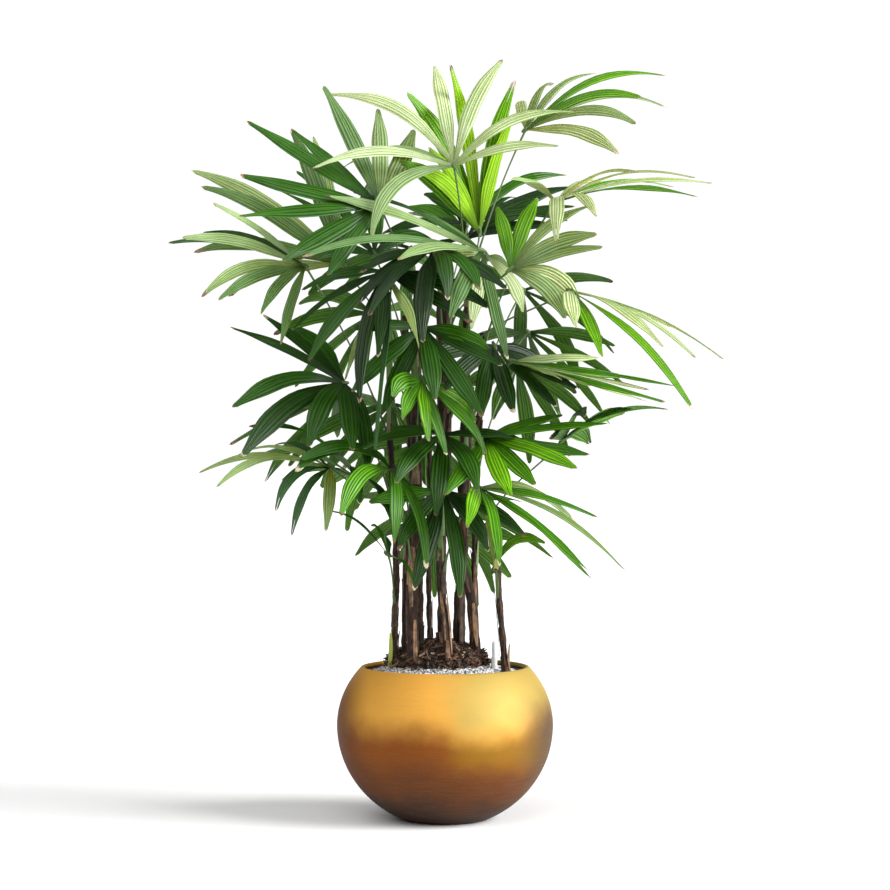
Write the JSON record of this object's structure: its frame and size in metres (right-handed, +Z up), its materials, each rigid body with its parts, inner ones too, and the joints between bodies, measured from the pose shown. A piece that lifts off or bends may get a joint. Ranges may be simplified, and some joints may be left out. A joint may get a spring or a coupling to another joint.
{
  "type": "lady palm in a globe pot",
  "caption": "Potted lady palm: a clump of slender fibrous canes with fan-shaped fronds, standing in a metallic gold globe pot topped with gravel.",
  "frame": {"origin": "centre of the pot's flat underside, where it stands on the floor", "axes": "+Z up along the pot's axis and the canes, -Y towards the front that the picture shows, +X to its right"},
  "size_m": [0.9917, 0.8072, 1.4178],
  "materials": {
    "gold_finish": "satin metallic gold coat with a brown patina towards the foot",
    "potting_soil": "matte dark potting soil",
    "bark_mulch": "matte bark fibre and root ball",
    "grey_gravel": "matte white and grey chips",
    "clear_gauge": "translucent moulded plastic",
    "fibrous_cane": "matte brown fibre sheath with tan strips",
    "leaf_green": "satin ribbed leaf, green to yellow-green, brown at the tips"
  },
  "bodies": {
    "root": {"pot": "gold_finish", "soil": "potting_soil", "gravel": "grey_gravel", "root_mound": "bark_mulch", "water_gauge": "clear_gauge", "cane_stump": "fibrous_cane", "cane_01": "fibrous_cane", "cane_02": "fibrous_cane", "cane_03": "fibrous_cane", "cane_04": "fibrous_cane", "cane_05": "fibrous_cane", "cane_06": "fibrous_cane", "cane_07": "fibrous_cane", "cane_08": "fibrous_cane", "cane_09": "fibrous_cane", "cane_10": "fibrous_cane", "cane_11": "fibrous_cane", "cane_12": "fibrous_cane", "frond_01": "leaf_green", "frond_02": "leaf_green", "frond_03": "leaf_green", "frond_04": "leaf_green", "frond_05": "leaf_green", "frond_06": "leaf_green", "frond_07": "leaf_green", "frond_08": "leaf_green", "frond_09": "leaf_green", "frond_10": "leaf_green", "frond_11": "leaf_green", "frond_12": "leaf_green", "frond_13": "leaf_green", "frond_14": "leaf_green", "frond_15": "leaf_green", "frond_16": "leaf_green", "frond_17": "leaf_green", "frond_18": "leaf_green", "frond_19": "leaf_green", "frond_20": "leaf_green", "frond_21": "leaf_green", "frond_22": "leaf_green", "frond_23": "leaf_green", "frond_24": "leaf_green", "frond_25": "leaf_green", "frond_26": "leaf_green", "frond_27": "leaf_green", "frond_28": "leaf_green", "frond_29": "leaf_green", "frond_30": "leaf_green", "frond_31": "leaf_green", "frond_32": "leaf_green", "frond_33": "leaf_green", "frond_34": "leaf_green", "frond_35": "leaf_green", "frond_36": "leaf_green", "frond_37": "leaf_green", "frond_38": "leaf_green", "frond_39": "leaf_green", "frond_40": "leaf_green", "frond_41": "leaf_green", "frond_42": "leaf_green"}
  },
  "joints": []
}
